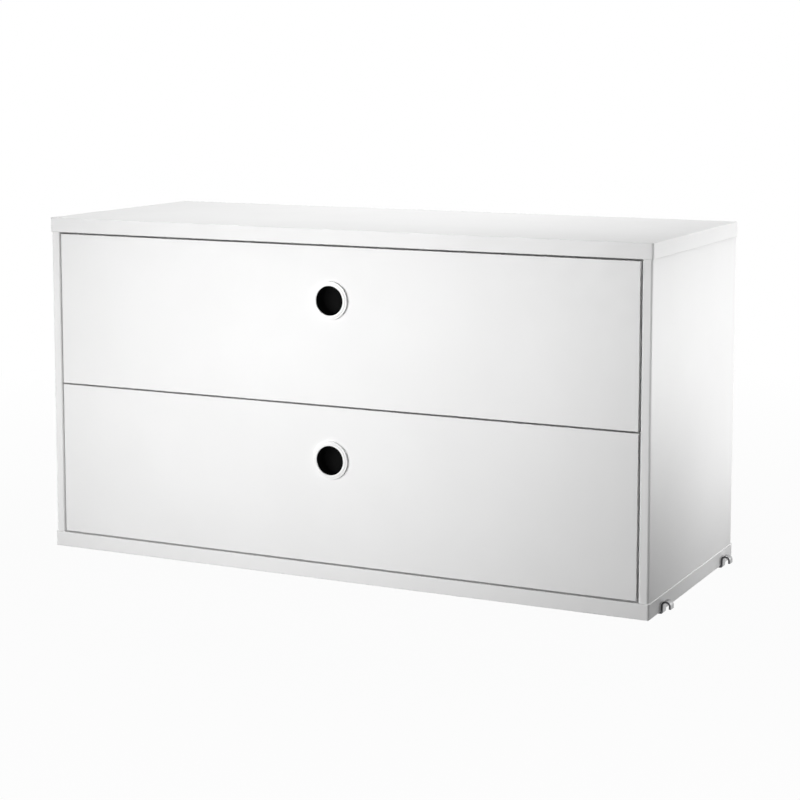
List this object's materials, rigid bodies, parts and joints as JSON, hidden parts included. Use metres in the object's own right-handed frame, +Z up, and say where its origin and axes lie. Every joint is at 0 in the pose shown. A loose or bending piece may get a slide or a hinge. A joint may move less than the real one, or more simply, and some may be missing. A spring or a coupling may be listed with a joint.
{
  "type": "drawer cabinet",
  "caption": "Wide white cabinet with stacked full-width drawers on roller slides, round finger grips and bent steel hooks that hang it on rack rungs.",
  "frame": {"origin": "centre of the base of the bounding box, level with the undersides of the hook feet", "axes": "+X to the right as seen from the front, +Y from the front to the rear, +Z up"},
  "size_m": [0.803, 0.3122, 0.4145],
  "materials": {
    "carcass_lacquer": "satin white lacquer on board",
    "front_lacquer": "satin white lacquer on board",
    "back_board": "thin white-faced fibreboard",
    "box_board": "matt white-faced board",
    "box_bottom_board": "thin white-faced fibreboard",
    "hook_steel": "satin",
    "slide_steel": "white epoxy coat, semi-gloss",
    "ring_plastic": "smooth moulded",
    "cup_plastic": "matt black moulded",
    "roller_plastic": "smooth nylon"
  },
  "bodies": {
    "cabinet": {"top_panel": "carcass_lacquer", "bottom_panel": "carcass_lacquer", "left_side_panel": "carcass_lacquer", "right_side_panel": "carcass_lacquer", "back_panel": "back_board", "left_front_hook": "hook_steel", "left_rear_hook": "hook_steel", "right_front_hook": "hook_steel", "right_rear_hook": "hook_steel", "lower_left_cabinet_rail": "slide_steel", "lower_right_cabinet_rail": "slide_steel", "upper_left_cabinet_rail": "slide_steel", "upper_right_cabinet_rail": "slide_steel"},
    "lower_drawer": {"lower_front": "front_lacquer", "lower_grip_ring": "ring_plastic", "lower_grip_cup": "cup_plastic", "lower_box_back": "box_board", "lower_box_bottom": "box_bottom_board", "lower_box_left_side": "box_board", "lower_left_drawer_rail": "slide_steel", "lower_box_right_side": "box_board", "lower_right_drawer_rail": "slide_steel"},
    "lower_front_roller_pair": {"lower_front_rollers": "roller_plastic"},
    "lower_rear_roller_pair": {"lower_rear_rollers": "roller_plastic"},
    "upper_drawer": {"upper_front": "front_lacquer", "upper_grip_ring": "ring_plastic", "upper_grip_cup": "cup_plastic", "upper_box_back": "box_board", "upper_box_bottom": "box_bottom_board", "upper_box_left_side": "box_board", "upper_left_drawer_rail": "slide_steel", "upper_box_right_side": "box_board", "upper_right_drawer_rail": "slide_steel"},
    "upper_front_roller_pair": {"upper_front_rollers": "roller_plastic"},
    "upper_rear_roller_pair": {"upper_rear_rollers": "roller_plastic"}
  },
  "joints": [
    {"name": "lower_drawer_slide", "type": "slide", "parent": "cabinet", "child": "lower_drawer", "axis": [0, -1, 0], "range_m": [0, 0.215]},
    {"name": "lower_front_roller_spin", "type": "hinge", "parent": "cabinet", "child": "lower_front_roller_pair", "pos_m": [0, -0.12085, 0.0523], "axis": [1, 0, 0], "range_deg": [0, 1643]},
    {"name": "lower_rear_roller_spin", "type": "hinge", "parent": "lower_drawer", "child": "lower_rear_roller_pair", "pos_m": [0, 0.11465, 0.0538], "axis": [1, 0, 0], "range_deg": [0, 1369]},
    {"name": "upper_drawer_slide", "type": "slide", "parent": "cabinet", "child": "upper_drawer", "axis": [0, -1, 0], "range_m": [0, 0.215]},
    {"name": "upper_front_roller_spin", "type": "hinge", "parent": "cabinet", "child": "upper_front_roller_pair", "pos_m": [0, -0.12085, 0.2393], "axis": [1, 0, 0], "range_deg": [0, 1643]},
    {"name": "upper_rear_roller_spin", "type": "hinge", "parent": "upper_drawer", "child": "upper_rear_roller_pair", "pos_m": [0, 0.11465, 0.2408], "axis": [1, 0, 0], "range_deg": [0, 1369]}
  ],
  "couplings": [
    {"joint": "lower_front_roller_spin", "follows": "lower_drawer_slide", "rad_per_m": 133.33},
    {"joint": "lower_rear_roller_spin", "follows": "lower_drawer_slide", "rad_per_m": 111.11},
    {"joint": "upper_front_roller_spin", "follows": "upper_drawer_slide", "rad_per_m": 133.33},
    {"joint": "upper_rear_roller_spin", "follows": "upper_drawer_slide", "rad_per_m": 111.11}
  ]
}
